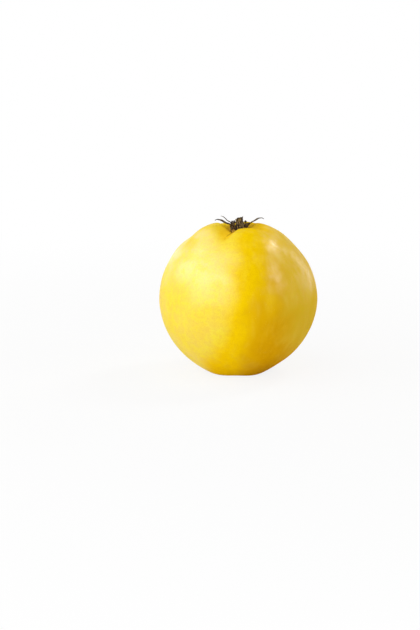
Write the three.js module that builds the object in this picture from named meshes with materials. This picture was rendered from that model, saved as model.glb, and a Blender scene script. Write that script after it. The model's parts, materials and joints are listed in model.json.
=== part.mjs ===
// A ripe, apple-shaped quince as picked, standing on its stalk end with the dried flower on top.
// Millimetres, +Z up. The origin is the middle of the spot that the fruit stands on, and -Y is its front.
//
// The fruit is one solid. The dried flower in the basin on top is made of the pieces that it really
// has: the rim of the flower cup, five sepals, twenty stamens and five styles. The stub of
// the woody stalk sits in the hollow underneath.

import * as THREE from "three";

const TURN = 2 * Math.PI;

// The plain body, before the ribs, the lumps, the basin and the hollow are worked in.
const BODY = {
  radius: 42.3, // at the widest level
  widest: 40.4, // height of the widest level above the surface
  rise: 42.2, // from the widest level up to the plain top
  drop: 42.4, // from the widest level down to the plain bottom, which the foot cuts off
};

// Low ribs down the sides: how many round the fruit, how strong, and where one of them points.
const RIBS = [
  { count: 2, share: 0.004, points: 35 },
  { count: 3, share: 0.004, points: -80 },
  { count: 5, share: 0.007, points: -76 },
];

// Lumps and dents of the shoulders. Polar angles are counted from the top.
const LUMPS = [
  { points: 182, spread: 26, polar: 58, height: 12, share: -0.008 },
  { points: 176, spread: 24, polar: 39, height: 7, share: -0.025 },
  { points: -2, spread: 30, polar: 48, height: 12, share: -0.014 },
  { points: 80, spread: 34, polar: 55, height: 16, share: 0.012 },
  { points: 0, spread: 40, polar: 96, height: 26, share: 0.018 },
];

// The basin on top that holds the dried flower.
const BASIN = { depth: 6.2, width: 7.4 };

// The knobs of flesh that stand round the basin, anticlockwise from the front one. Where the
// height is negative, the rim of the basin hangs a little.
const KNOBS = [
  { points: -76, spread: 28, radius: 11, width: 6, height: -1.5 },
  { points: 4, spread: 30, radius: 13, width: 6, height: 0.1 },
  { points: 70, spread: 30, radius: 12, width: 7, height: -0.8 },
  { points: 132, spread: 28, radius: 12, width: 7, height: -1.1 },
  { points: 204, spread: 36, radius: 15, width: 7, height: 0.8 },
];

// The creases between the knobs. Each runs out from the basin and has a steep and a gentle side.
const CREASES = [
  { points: -108, depth: 3.8, steep: 3.0, gentle: 5.4, reach: 30 },
  { points: -30, depth: 1.7, steep: 5.0, gentle: 5.0, reach: 26 },
  { points: 38, depth: 1.3, steep: 3.4, gentle: 4.4, reach: 22 },
  { points: 101, depth: 1.6, steep: 3.6, gentle: 4.0, reach: 20 },
  { points: 164, depth: 1.8, steep: 3.0, gentle: 4.6, reach: 24 },
];
const CREASE_START = 9; // radius by which a crease has its full depth

// The hollow round the stalk, and the pads beside it that the fruit stands on.
const HOLLOW = { depth: 10.0, width: 8.2 };
const PADS = { count: 5, points: 20, height: 0.5, settle: 1.3, radius: 13, width: 7 };

// The dried flower. Every run leans by the angles in rise, from its foot to its tip, while its
// bearing turns by veer. A sepal has the widths in widths, and its edges curl in towards its face.
const CUP = { radius: 3.6, height: 1.0, dish: 0.5, gap: 0.35 };
const SEPAL_FOOT = { radius: 4.4, gap: 0.7 };
const SEPALS = [
  {
    name: "sepal_front",
    points: -66,
    length: 8.8,
    widths: [2.2, 3.7, 4.8, 5.1, 4.4],
    thick: 0.55,
    curl: 0.36,
    rise: [80, 90, 96, 86],
    veer: 6,
  },
  {
    name: "sepal_right",
    points: -6,
    length: 13.6,
    widths: [2.2, 3.6, 3.0, 1.1, 0.8, 0.8, 0.5],
    thick: 0.55,
    curl: 0.5,
    rise: [70, 79, 37, 26, 37, 12, -50],
    veer: 8,
  },
  {
    name: "sepal_back_right",
    points: 64,
    length: 5.6,
    widths: [2.2, 3.4, 3.2, 2.2, 0.9],
    thick: 0.5,
    curl: 0.45,
    rise: [62, 66, 48, 14],
    veer: 14,
  },
  {
    name: "sepal_back_left",
    points: 124,
    length: 5.2,
    widths: [2.2, 3.6, 3.2, 1.8, 0.8],
    thick: 0.5,
    curl: 0.45,
    rise: [62, 70, 84, 100],
    veer: 12,
  },
  {
    name: "sepal_left",
    points: 239,
    length: 15.4,
    widths: [2.2, 3.3, 3.0, 1.5, 1.1, 0.9, 0.5],
    thick: 0.6,
    curl: 0.5,
    rise: [82, 92, 32, 15, 38, 13, -40],
    veer: -72,
  },
];

// The stamens stand in two close rings, by turns. Their lengths and their leans at the tip repeat.
const STAMENS = { count: 20, points: -2, inner: 2.2, outer: 3.0, gap: 0.4 };
const STAMEN_LENGTHS = [3.6, 3.0, 3.9];
const STAMEN_LEANS = [90, 78, 96, 84];
const FILAMENT = 0.2; // radius of a dried filament
const ANTHER = { radius: 0.38, start: 0.7 }; // the withered anther, and the share where it starts

// One stamen has kept its length and sticks up out of the basin.
const LONG_STAMEN = { place: 9, length: 9.5, rise: [90, 61, 19, 46, 31, -4], middle: 0.26, tip: 0.2 };

const STYLES = { count: 5, points: 12, ring: 0.85, gap: 0.4, length: 4.9, rise: [90, 88, 84] };
const STYLE = { radius: 0.3, head: 0.38, headStart: 0.85 };

// The broken stub of the stalk. Its edges are rounded off by the share in round.
const STUB = { radius: 2.3, top: 7.2, bottom: 2.2, round: 0.8 };

// ---- Small helpers ----

const radians = THREE.MathUtils.degToRad;
const bell = (x) => Math.exp(-x * x);
const bowl = (x) => Math.exp(-(x ** 4));

// Degrees from one bearing to another, between -180 and 180.
const bearingGap = (degrees, points) => THREE.MathUtils.euclideanModulo(degrees - points + 180, 360) - 180;

// The point at a bearing, a distance from the axis and a height.
function onRing(points, radius, height) {
  const bearing = radians(points);
  return new THREE.Vector3(radius * Math.cos(bearing), radius * Math.sin(bearing), height);
}

// The value at share (0 to 1) of a run of evenly spaced keys, eased from key to key.
function keyed(keys, share) {
  const place = Math.min(Math.max(share, 0), 1) * (keys.length - 1);
  const before = Math.min(Math.floor(place), keys.length - 2);
  const ease = THREE.MathUtils.smoothstep(place - before, 0, 1);
  return THREE.MathUtils.lerp(keys[before], keys[before + 1], ease);
}

// A closed surface laid over a sphere's grid. place(turn, along) gives the point at turn, 0 to 1
// once round, and along, 0 to 1 from one pole to the other.
function closedForm(around, steps, place) {
  const geometry = new THREE.SphereGeometry(1, around, steps);
  const { position, uv } = geometry.attributes;
  for (let i = 0; i < position.count; i++) {
    const along = 1 - uv.getY(i);
    const isPole = along < 1e-6 || along > 1 - 1e-6;
    const turn = isPole ? 0 : uv.getX(i) % 1;
    position.setXYZ(i, ...place(turn, along).toArray());
  }
  geometry.computeVertexNormals();
  return geometry;
}

// ---- The fruit ----

// How far the top stands above the plain body, at a bearing and a distance from the axis.
function crownLift(degrees, distance) {
  let lift = -BASIN.depth * bowl(distance / BASIN.width);
  for (const knob of KNOBS) {
    const beside = bearingGap(degrees, knob.points) / knob.spread;
    lift += knob.height * bell(beside) * bell((distance - knob.radius) / knob.width);
  }
  for (const crease of CREASES) {
    const gap = radians(bearingGap(degrees, crease.points));
    const aside = distance * Math.sin(gap);
    const width = aside > 0 ? crease.steep : crease.gentle;
    const onItsSide = THREE.MathUtils.smoothstep(Math.cos(gap), 0, 0.5);
    const start = THREE.MathUtils.smoothstep(distance, 0, CREASE_START);
    const end = 1 - THREE.MathUtils.smoothstep(distance, CREASE_START, crease.reach);
    lift -= crease.depth * bell(aside / width) * onItsSide * start * end;
  }
  return lift;
}

// How far the bottom stands above the plain body: the hollow round the stalk, less the pads.
function footLift(degrees, distance) {
  const pads = PADS.height * Math.cos(PADS.count * radians(degrees - PADS.points));
  const near = bell((distance - PADS.radius) / PADS.width);
  const atAxis = THREE.MathUtils.smoothstep(distance, 0, PADS.radius);
  return HOLLOW.depth * bell(distance / HOLLOW.width) - (PADS.settle + pads) * near * atAxis;
}

// How far the plain body is pushed out at a bearing and a polar angle, as a share of its size.
function swell(degrees, polar) {
  let share = 0;
  for (const rib of RIBS) {
    share += rib.share * Math.cos(rib.count * radians(degrees - rib.points)) * Math.sin(polar);
  }
  for (const lump of LUMPS) {
    const aside = bearingGap(degrees, lump.points) / lump.spread;
    const above = (THREE.MathUtils.radToDeg(polar) - lump.polar) / lump.height;
    share += lump.share * bell(aside) * bell(above);
  }
  return share;
}

// The skin at a bearing and a polar angle, which is 0 on top and pi underneath.
function skin(degrees, polar) {
  const size = 1 + swell(degrees, polar);
  const distance = BODY.radius * size * Math.sin(polar);
  const isTop = polar < Math.PI / 2;
  const plain = BODY.widest + (isTop ? BODY.rise : BODY.drop) * size * Math.cos(polar);
  const lift = isTop ? crownLift(degrees, distance) : footLift(degrees, distance);
  return onRing(degrees, distance, Math.max(plain + lift, 0));
}

// Height of the skin on top of the fruit, at a bearing and a distance from the axis.
function crownHeight(degrees, distance) {
  const polar = Math.asin(Math.min(distance / BODY.radius, 1));
  return BODY.widest + BODY.rise * Math.cos(polar) + crownLift(degrees, distance);
}

// Rows lie closer together towards both ends, where the basin and the hollow are.
function fruitForm() {
  const crowding = 0.085;
  return closedForm(80, 46, (turn, along) => {
    const polar = Math.PI * (along - crowding * Math.sin(TURN * along));
    return skin(turn * 360, polar);
  });
}

// ---- The dried flower ----

// Points and directions along a run that starts at foot and climbs by the angles in rise.
function runOf(foot, points, length, rise, veer, steps) {
  const place = foot.clone();
  const run = [];
  for (let i = 0; i <= steps; i++) {
    const share = i / steps;
    const climb = radians(keyed(rise, share));
    const bearing = radians(points + veer * share);
    const outward = new THREE.Vector3(Math.cos(bearing), Math.sin(bearing), 0);
    const ahead = outward.clone().multiplyScalar(Math.cos(climb));
    ahead.z = Math.sin(climb);
    const side = new THREE.Vector3(-Math.sin(bearing), Math.cos(bearing), 0);
    const face = new THREE.Vector3().crossVectors(ahead, side);
    run.push({ place: place.clone(), side, face });
    place.addScaledVector(ahead, length / steps);
  }
  return run;
}

// A six-sided strand along a run, with its radius at each share of the way.
function strandForm(run, radiusAt) {
  const steps = run.length - 1;
  return closedForm(6, steps, (turn, along) => {
    const { place, side, face } = run[Math.round(along * steps)];
    const radius = along > 0 && along < 1 ? radiusAt(along) : 0;
    const angle = -TURN * turn;
    return place
      .clone()
      .addScaledVector(side, radius * Math.cos(angle))
      .addScaledVector(face, radius * Math.sin(angle));
  });
}

// A dried sepal: a narrow leaf of even thickness that is bent across its width.
function sepalForm(sepal) {
  const sides = 12;
  const steps = 16;
  const height = crownHeight(sepal.points, SEPAL_FOOT.radius) + SEPAL_FOOT.gap;
  const foot = onRing(sepal.points, SEPAL_FOOT.radius, height);
  const run = runOf(foot, sepal.points, sepal.length, sepal.rise, sepal.veer, steps);
  return closedForm(sides, steps, (turn, along) => {
    const { place, side, face } = run[Math.round(along * steps)];
    const isEnd = along === 0 || along === 1;
    const width = isEnd ? 0 : keyed(sepal.widths, along);
    const angle = -TURN * turn;
    const across = (width / 2) * Math.cos(angle);
    const through = isEnd ? 0 : (sepal.thick / 2) * Math.sin(angle);
    const bend = sepal.curl * across;
    const out = Math.sin(bend) / sepal.curl;
    const back = (1 - Math.cos(bend)) / sepal.curl;
    return place
      .clone()
      .addScaledVector(side, out + through * -Math.sin(bend))
      .addScaledVector(face, back + through * Math.cos(bend));
  });
}

// Height of the dished top of the flower cup, at a distance from the axis.
function cupTop(distance) {
  const floor = BODY.widest + BODY.rise - BASIN.depth + CUP.gap;
  return floor + CUP.height + CUP.dish * (distance / CUP.radius) ** 2;
}

// The rim of the flower cup: a low dished disc with a round edge on the floor of the basin.
function cupForm() {
  return closedForm(30, 12, (turn, along) => {
    const polar = Math.PI * along;
    const distance = CUP.radius * Math.sin(polar);
    const over = cupTop(distance);
    const under = crownHeight(turn * 360, distance) + CUP.gap;
    const roundEdge = Math.abs(Math.cos(polar)) ** 0.5;
    const middle = (over + under) / 2;
    const height = THREE.MathUtils.lerp(middle, along < 0.5 ? over : under, roundEdge);
    return onRing(turn * 360, distance, height);
  });
}

function stamenForm(place) {
  const points = STAMENS.points + (360 * place) / STAMENS.count;
  const radius = place % 2 ? STAMENS.outer : STAMENS.inner;
  const foot = onRing(points, radius, cupTop(radius) + STAMENS.gap);
  if (place === LONG_STAMEN.place) {
    const { length, rise, middle, tip } = LONG_STAMEN;
    const radiusAt = (along) => keyed([FILAMENT, middle, tip], along);
    return strandForm(runOf(foot, points, length, rise, 0, 14), radiusAt);
  }
  const length = STAMEN_LENGTHS[place % STAMEN_LENGTHS.length];
  const rise = [86, 90, STAMEN_LEANS[place % STAMEN_LEANS.length]];
  const radiusAt = (along) => (along < ANTHER.start ? FILAMENT : ANTHER.radius);
  return strandForm(runOf(foot, points, length, rise, 0, 10), radiusAt);
}

function styleForm(index) {
  const points = STYLES.points + (360 * index) / STYLES.count;
  const foot = onRing(points, STYLES.ring, cupTop(STYLES.ring) + STYLES.gap);
  const radiusAt = (along) => (along < STYLE.headStart ? STYLE.radius : STYLE.head);
  return strandForm(runOf(foot, points, STYLES.length, STYLES.rise, 0, 10), radiusAt);
}

// ---- The stub of the stalk ----

function stubForm() {
  const half = (STUB.top - STUB.bottom) / 2;
  return closedForm(16, 10, (turn, along) => {
    const polar = Math.PI * along;
    const distance = STUB.radius * Math.min(1, Math.sin(polar) / STUB.round);
    return onRing(turn * 360, distance, STUB.bottom + half + half * Math.cos(polar));
  });
}

// ---- The scene graph ----

const skinYellow = new THREE.MeshStandardMaterial({ color: 0xf3cf3a, roughness: 0.45, metalness: 0 });
const driedSepal = new THREE.MeshStandardMaterial({ color: 0x5b4326, roughness: 0.9, metalness: 0 });
const driedStamen = new THREE.MeshStandardMaterial({ color: 0x3a2a18, roughness: 0.9, metalness: 0 });
const driedStyle = new THREE.MeshStandardMaterial({ color: 0x8a744c, roughness: 0.95, metalness: 0 });
const cupBrown = new THREE.MeshStandardMaterial({ color: 0x4a3018, roughness: 0.95, metalness: 0 });
const stalkWood = new THREE.MeshStandardMaterial({ color: 0x6a5236, roughness: 0.9, metalness: 0 });

const quince = new THREE.Group();

function add(name, geometry, material) {
  const mesh = new THREE.Mesh(geometry, material);
  mesh.name = name;
  quince.add(mesh);
}

add("fruit", fruitForm(), skinYellow);
add("flower_cup", cupForm(), cupBrown);
for (const sepal of SEPALS) {
  add(sepal.name, sepalForm(sepal), driedSepal);
}
for (let i = 0; i < STAMENS.count; i++) {
  add(`stamen_${i + 1}`, stamenForm(i), driedStamen);
}
for (let i = 0; i < STYLES.count; i++) {
  add(`style_${i + 1}`, styleForm(i), driedStyle);
}
add("stalk_stub", stubForm(), stalkWood);

export default quince;
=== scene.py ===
import json
import math
import random

import bpy
import numpy as np
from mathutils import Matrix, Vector, noise

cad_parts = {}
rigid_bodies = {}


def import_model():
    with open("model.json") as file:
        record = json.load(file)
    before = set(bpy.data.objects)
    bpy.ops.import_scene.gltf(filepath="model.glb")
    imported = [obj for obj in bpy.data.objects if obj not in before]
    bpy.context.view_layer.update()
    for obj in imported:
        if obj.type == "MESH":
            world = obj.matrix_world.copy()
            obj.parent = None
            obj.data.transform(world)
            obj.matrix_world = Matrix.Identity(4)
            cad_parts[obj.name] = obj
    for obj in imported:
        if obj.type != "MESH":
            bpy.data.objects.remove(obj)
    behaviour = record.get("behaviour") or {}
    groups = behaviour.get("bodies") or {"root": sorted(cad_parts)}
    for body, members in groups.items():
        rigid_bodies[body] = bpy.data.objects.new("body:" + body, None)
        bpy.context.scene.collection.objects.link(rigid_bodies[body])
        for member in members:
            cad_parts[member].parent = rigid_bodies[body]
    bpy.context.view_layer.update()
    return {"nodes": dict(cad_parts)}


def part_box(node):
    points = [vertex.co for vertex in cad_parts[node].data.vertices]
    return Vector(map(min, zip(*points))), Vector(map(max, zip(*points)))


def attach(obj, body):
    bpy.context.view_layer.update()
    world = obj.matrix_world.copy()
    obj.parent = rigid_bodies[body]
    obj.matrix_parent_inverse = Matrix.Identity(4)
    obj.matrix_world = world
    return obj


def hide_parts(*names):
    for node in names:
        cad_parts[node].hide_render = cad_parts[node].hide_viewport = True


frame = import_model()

mm = 0.001  # the shapes below are worked out in millimetres and degrees, -Y is the front
print("frame loaded:", len(frame["nodes"]), "nodes")


# ease, bell and bowl shape every swelling and hollow of the fruit
def ease(value, start, end):
    share = np.clip((value - start) / (end - start), 0, 1)
    return share * share * (3 - 2 * share)


def bell(value):
    return np.exp(-value * value)


def bowl(value):
    return np.exp(-value**4)


def bearingGap(bearing, points):
    return (bearing - points + 180) % 360 - 180


def onRing(bearing, distance, height):
    turn = np.radians(bearing)
    return np.stack([distance * np.cos(turn), distance * np.sin(turn), height + 0 * distance], -1)


seedStep = np.array((31.7, -17.3, 5.1))  # how far apart the noises of two seeds lie


# smooth noise between -1 and 1 at every point, for a grain of the given size
def roughness(points, grain, seed=0):
    spots = points.reshape(-1, 3) / grain + seedStep * seed
    return np.array([noise.noise(Vector(spot)) for spot in spots]).reshape(points.shape[:-1])


# two noises on top of each other, each with its height and its grain
def roughnessPair(points, pair, seed):
    (height, grain), (smallHeight, smallGrain) = pair
    small = smallHeight * roughness(points, smallGrain, seed + 1)
    return height * roughness(points, grain, seed) + small


# values at shares of the way along evenly spaced keys
def keyRow(keys, share):
    place = np.clip(share, 0, 1) * (len(keys) - 1)
    before = np.minimum(place.astype(int), len(keys) - 2)
    blend = ease(place - before, 0, 1)
    keys = np.array(keys)
    return keys[before] + (keys[before + 1] - keys[before]) * blend


def newMesh(name, points, faces, smooth=True):
    mesh = bpy.data.meshes.new(name)
    mesh.from_pydata(points, [], faces)
    mesh.polygons.foreach_set("use_smooth", [smooth] * len(faces))
    mesh.update()
    return mesh


# the four-sided faces between rings of points, the first of which has the number first
def ringFaces(count, around, first=0):
    near = first + np.arange(count - 1)[:, None] * around
    far = near + around
    column = np.arange(around)
    following = (column + 1) % around
    faces = np.stack([near + column, far + column, far + following, near + following], -1)
    return faces.reshape(-1, 4).tolist()


# how far along and across a dried piece each point lies, for its fibres
def layGrain(mesh, grain):
    corners = np.zeros(len(mesh.loops), dtype=np.int32)
    mesh.loops.foreach_get("vertex_index", corners)
    mesh.uv_layers.new(name="grain").data.foreach_set("uv", grain[corners].ravel())


# rings is a grid of points, ring by ring, closed at both ends by a single point;
# each of the marks is a number for every point of the grid, for the material to read
def ringMesh(name, rings, start, end, grain=None, **marks):
    count, around = rings.shape[:2]
    points = np.concatenate([[start], rings.reshape(-1, 3), [end]]) * mm
    faces = ringFaces(count, around, 1)
    last = len(points) - 1
    lastRing = last - around
    for column in range(around):
        following = (column + 1) % around
        faces.append((0, 1 + column, 1 + following))
        faces.append((last, lastRing + following, lastRing + column))
    mesh = newMesh(name, points.tolist(), faces)
    if grain is not None:
        layGrain(mesh, np.concatenate([[[0, 0]], grain.reshape(-1, 2), [[1, 0]]]))
    for mark, values in marks.items():
        values = np.concatenate([[values[0].mean()], values.ravel(), [values[-1].mean()]])
        mesh.attributes.new(mark, "FLOAT", "POINT").data.foreach_set("value", values)
    return mesh


# the same round the axis of the fruit, where the closing points lie
def roundMesh(name, rings, **marks):
    start, end = ((0, 0, ring[:, 2].mean()) for ring in (rings[0], rings[-1]))
    return ringMesh(name, rings, start, end, **marks)


# a bent sheet of a pair of faces: every ring runs out along one face and back along the other
def sheetMesh(name, rings):
    count, around = rings.shape[:2]
    faces = ringFaces(count, around)
    last = (count - 1) * around
    for column in range(around // 2):
        before, back = (around - column) % around, around - column - 1
        cap = list(dict.fromkeys([column, column + 1, back, before]))
        faces.append(tuple(cap))
        faces.append(tuple(last + corner for corner in reversed(cap)))
    return newMesh(name, (rings.reshape(-1, 3) * mm).tolist(), faces)


def joined(name, meshes):
    points, faces = [], []
    for mesh in meshes:
        base = len(points)
        points.extend(tuple(vertex.co) for vertex in mesh.vertices)
        faces.extend([base + corner for corner in face.vertices] for face in mesh.polygons)
        bpy.data.meshes.remove(mesh)
    return newMesh(name, points, faces)


def addObject(name, data):
    thing = bpy.data.objects.new(name, data)
    bpy.context.scene.collection.objects.link(thing)
    return thing


def place(name, mesh, material, slotName, *nodes):
    piece = addObject(name, mesh)
    mesh.materials.append(material)
    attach(piece, "root")
    if nodes:
        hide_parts(*nodes)


# a node socket that takes part in sums as a number does
class Wire:
    def __init__(self, board, socket):
        self.board = board
        self.socket = socket

    def __add__(self, other):
        return self.board.maths("ADD", self, other)

    def __radd__(self, other):
        return self.board.maths("ADD", other, self)

    def __sub__(self, other):
        return self.board.maths("SUBTRACT", self, other)

    def __rsub__(self, other):
        return self.board.maths("SUBTRACT", other, self)

    def __mul__(self, other):
        return self.board.maths("MULTIPLY", self, other)

    def __rmul__(self, other):
        return self.board.maths("MULTIPLY", other, self)

    def __truediv__(self, other):
        return self.board.maths("DIVIDE", self, other)

    def __rtruediv__(self, other):
        return self.board.maths("DIVIDE", other, self)

    def __pow__(self, other):
        return self.board.maths("POWER", self, other)

    def __rpow__(self, other):
        return self.board.maths("POWER", other, self)


# the node tree of one material, or of the world
class Board:
    def __init__(self, owner):
        owner.use_nodes = True
        self.owner = owner
        self.tree = owner.node_tree
        self.tree.nodes.clear()

    def add(self, kind, settings=None, values=None, output=0):
        node = self.tree.nodes.new(kind)
        for name, setting in (settings or {}).items():
            setattr(node, name, setting)
        for name, value in (values or {}).items():
            if isinstance(value, Wire):
                self.tree.links.new(value.socket, node.inputs[name])
            else:
                node.inputs[name].default_value = value
        return Wire(self, node.outputs[output]) if len(node.outputs) else None

    def maths(self, operation, *values):
        return self.add("ShaderNodeMath", {"operation": operation}, dict(enumerate(values)))

    # 0 below start, 1 above end, or the other way round where start is the larger
    def between(self, value, start, end):
        settings = {"interpolation_type": "SMOOTHSTEP", "clamp": True}
        low, high = (0, 1) if start < end else (1, 0)
        reach = {"From Min": min(start, end), "From Max": max(start, end), "To Min": low, "To Max": high}
        return self.add("ShaderNodeMapRange", settings, {"Value": value, **reach})

    def noise(self, vector, size, detail, lean=0.0, rough=0.5):
        values = {"Vector": vector, "Scale": 1 / size, "Detail": detail}
        values |= {"Distortion": lean, "Roughness": rough}
        return self.add("ShaderNodeTexNoise", {}, values)

    def mix(self, factor, first, second):
        settings = {"data_type": "RGBA", "blend_type": "MIX", "clamp_factor": True}
        return self.add("ShaderNodeMix", settings, {0: factor, 6: first, 7: second}, output=2)

    def parts(self, vector):
        node = self.add("ShaderNodeSeparateXYZ", {}, {0: vector}).socket.node
        return [Wire(self, node.outputs[axis]) for axis in "XYZ"]

    def stretched(self, vector, *factors):
        return self.add("ShaderNodeVectorMath", {"operation": "MULTIPLY"}, {0: vector, 1: factors})

    # places on the piece, in millimetres
    def spots(self):
        return self.stretched(self.add("ShaderNodeTexCoord", output="Object"), 1 / mm, 1 / mm, 1 / mm)

    # relief is a height in millimetres
    def bump(self, relief):
        values = {"Strength": 1.0, "Distance": 1.0, "Height": relief * mm}
        return self.add("ShaderNodeBump", {}, values)

    def surface(self, **values):
        values = {name.replace("_", " "): value for name, value in values.items()}
        shader = self.add("ShaderNodeBsdfPrincipled", {}, values)
        self.add("ShaderNodeOutputMaterial", {}, {"Surface": shader})
        return self.owner


def newMaterial(name):
    return Board(bpy.data.materials.new(name))


# a colour written as a screen shows it, 0 to 255
def shade(red, green, blue):
    linear = []
    for level in (red, green, blue):
        level = level / 255
        linear.append(level / 12.92 if level <= 0.04045 else ((level + 0.055) / 1.055) ** 2.4)
    return (*linear, 1)


def fruitMiddle():
    low, high = (Vector(corner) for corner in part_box("fruit"))
    return (low + high) / 2


def turnTowards(thing, aim):
    thing.rotation_euler = (aim - thing.location).to_track_quat("-Z", "Y").to_euler()


view = {
    "lens": 95,
    "nearest": 0.01,  # metres from the camera at which things start to show
    "distance": 0.9,
    "elevation": 11,
    "aside": -0.0170,  # how far past the fruit the camera aims, as a share of the distance
    "above": -0.0111,
}


def buildCamera():
    middle = fruitMiddle()
    tilt = math.radians(view["elevation"])
    away = Vector((0, -math.cos(tilt), math.sin(tilt)))
    upward = Vector((0, math.sin(tilt), math.cos(tilt)))
    data = bpy.data.cameras.new("camera")
    data.lens = view["lens"]
    data.clip_start = view["nearest"]
    camera = addObject("camera", data)
    camera.location = middle + away * view["distance"]
    beside = Vector((1, 0, 0)) * view["aside"] + upward * view["above"]
    turnTowards(camera, middle + view["distance"] * beside)
    bpy.context.scene.camera = camera


buildCamera()
print("camera placed")


fruit = {
    "radius": 42.3,  # at the widest level
    "widest": 40.4,  # height of the widest level
    "rise": 42.2,  # from there to the plain top
    "drop": 42.4,  # from there to the plain bottom, which the foot cuts off
    # ribs: how many round the fruit, share of the size, bearing of one of them
    "ribs": [(2, 0.004, 35), (3, 0.004, -80), (5, 0.007, -76)],
    # lumps and dents: bearing, spread, angle from the top, height, share of the size
    "lumps": [
        (182, 26, 58, 12, -0.008),
        (176, 24, 39, 7, -0.025),
        (-2, 30, 48, 12, -0.014),
        (80, 34, 55, 16, 0.012),
        (0, 40, 96, 26, 0.018),
    ],
    "basinDepth": 6.2,
    "basinWidth": 7.4,
    # knobs round the basin: bearing, spread, distance from the axis, width, height
    "knobs": [
        (-76, 28, 11, 6, -1.5),
        (4, 30, 13, 6, 0.1),
        (70, 30, 12, 7, -0.8),
        (132, 28, 12, 7, -1.1),
        (204, 36, 15, 7, 0.8),
    ],
    # creases between them: bearing, depth, width on the steep and the gentle side, reach
    "creases": [
        (-108, 3.8, 3.0, 5.4, 30),
        (-30, 1.7, 5.0, 5.0, 26),
        (38, 1.3, 3.4, 4.4, 22),
        (101, 1.6, 3.6, 4.0, 20),
        (164, 1.8, 3.0, 4.6, 24),
    ],
    "creaseStart": 9,
    "creaseSides": 0.5,  # cosine of the bearing beyond which a crease has its full depth
    "deepCrease": 2.6,  # depth at which a crease has its full colour
    "line": 0.5,  # width of the dark line along the floor of a crease
    "lineWander": 0.8,
    "hollowDepth": 10.0,
    "hollowWidth": 8.2,
    # pads beside the hollow: how many, bearing of one, height, settling, distance, width
    "pads": (5, 20, 0.5, 1.3, 13, 7),
    # how gently it meets the floor, how far it settles for that, and below which height
    "softFoot": (1.3, 0.4, 3),
    "columns": 360,
    "rows": 258,
    "crowding": 0.085,  # rows lie closer together towards both ends
    "waves": [(15, 0.16), (6, 0.05)],  # grain and height of the faint unevenness of the skin
    "puckers": (21, 0.11, 7.5, 2.6),  # fine folds round the flower: count, height, distance, width
    "footPuckers": (17, 0.22, 6.0, 3.6),  # and round the stalk
    "wander": (2.5, 9),  # how far the folds and the lines stray, and over what length
    "smoothFoot": (0.3, 3),  # heights between which the unevenness grows
}


# with a line width, the depth of the thin lines along the floors of the creases only
def creaseDepth(bearing, distance, line=None):
    whole, middle = 0, fruit["creaseStart"]
    for points, depth, steep, gentle, reach in fruit["creases"]:
        gap = np.radians(bearingGap(bearing, points))
        aside = distance * np.sin(gap)
        width = line or np.where(aside > 0, steep, gentle)
        along = ease(distance, 0, middle) * (1 - ease(distance, middle, reach))
        sides = ease(np.cos(gap), 0, fruit["creaseSides"])
        whole = whole + depth * bell(aside / width) * sides * along
    return whole


def crownLift(bearing, distance):
    lift = -fruit["basinDepth"] * bowl(distance / fruit["basinWidth"])
    for points, spread, radius, width, height in fruit["knobs"]:
        here = bell(bearingGap(bearing, points) / spread) * bell((distance - radius) / width)
        lift = lift + height * here
    return lift - creaseDepth(bearing, distance)


def footLift(bearing, distance):
    count, points, height, settle, radius, width = fruit["pads"]
    pads = settle + height * np.cos(count * np.radians(bearing - points))
    near = bell((distance - radius) / width) * ease(distance, 0, radius)
    return fruit["hollowDepth"] * bell(distance / fruit["hollowWidth"]) - pads * near


# heights near the floor ease into it, so that the foot meets it without a hard edge
def onFloor(height):
    soft, settle, below = fruit["softFoot"]
    eased = (np.hypot(height, soft) - height) / 2
    return np.maximum(height + eased - settle * bell(height / below), 0)


def fruitSkin(bearing, polar):
    size = 1
    for count, share, points in fruit["ribs"]:
        size = size + share * np.cos(count * np.radians(bearing - points)) * np.sin(polar)
    for points, spread, level, height, share in fruit["lumps"]:
        above = (np.degrees(polar) - level) / height
        size = size + share * bell(bearingGap(bearing, points) / spread) * bell(above)
    distance = fruit["radius"] * size * np.sin(polar)
    isTop = polar < math.pi / 2
    half = np.where(isTop, fruit["rise"], fruit["drop"])
    plain = fruit["widest"] + half * size * np.cos(polar)
    lift = np.where(isTop, crownLift(bearing, distance), footLift(bearing, distance))
    return onRing(bearing, distance, onFloor(plain + lift))


def crownHeight(bearing, distance):
    polar = np.arcsin(np.minimum(distance / fruit["radius"], 1))
    return fruit["widest"] + fruit["rise"] * np.cos(polar) + crownLift(bearing, distance)


def outwardOf(rings):
    down = np.gradient(rings, axis=0)
    across = np.roll(rings, -1, axis=1) - np.roll(rings, 1, axis=1)
    outward = np.cross(down, across)
    return outward / np.linalg.norm(outward, axis=-1, keepdims=True)


def fruitMesh():
    along = np.arange(1, fruit["rows"]) / fruit["rows"]
    polar = math.pi * (along - fruit["crowding"] * np.sin(2 * math.pi * along))
    bearing = np.arange(fruit["columns"]) * 360 / fruit["columns"]
    bearing, polar = np.meshgrid(bearing, polar)
    rings = fruitSkin(bearing, polar)
    distance = np.hypot(rings[..., 0], rings[..., 1])
    isCrown = polar < math.pi / 2
    relief = 0
    for seed, (grain, height) in enumerate(fruit["waves"]):
        relief = relief + height * roughness(rings, grain, seed)
    stray, grain = fruit["wander"]
    wander = stray * roughness(rings, grain, seed=5)
    for isHere, puckers in ((isCrown, fruit["puckers"]), (~isCrown, fruit["footPuckers"])):
        count, height, radius, width = puckers
        folds = np.cos(count * np.radians(bearing) + wander) * bell((distance - radius) / width)
        relief = relief + height * folds * isHere
    relief = relief * ease(rings[..., 2], *fruit["smoothFoot"])
    rings = rings + outwardOf(rings) * relief[..., None]
    rings[..., 2] = np.maximum(rings[..., 2], 0)
    lineBearing = bearing + fruit["lineWander"] * wander
    valley = np.clip(creaseDepth(bearing, distance) / fruit["deepCrease"], 0, 1) * isCrown
    groove = creaseDepth(lineBearing, distance, fruit["line"]) / fruit["deepCrease"] * isCrown
    return roundMesh("fruitSkin", rings, valley=valley, groove=groove)


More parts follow.
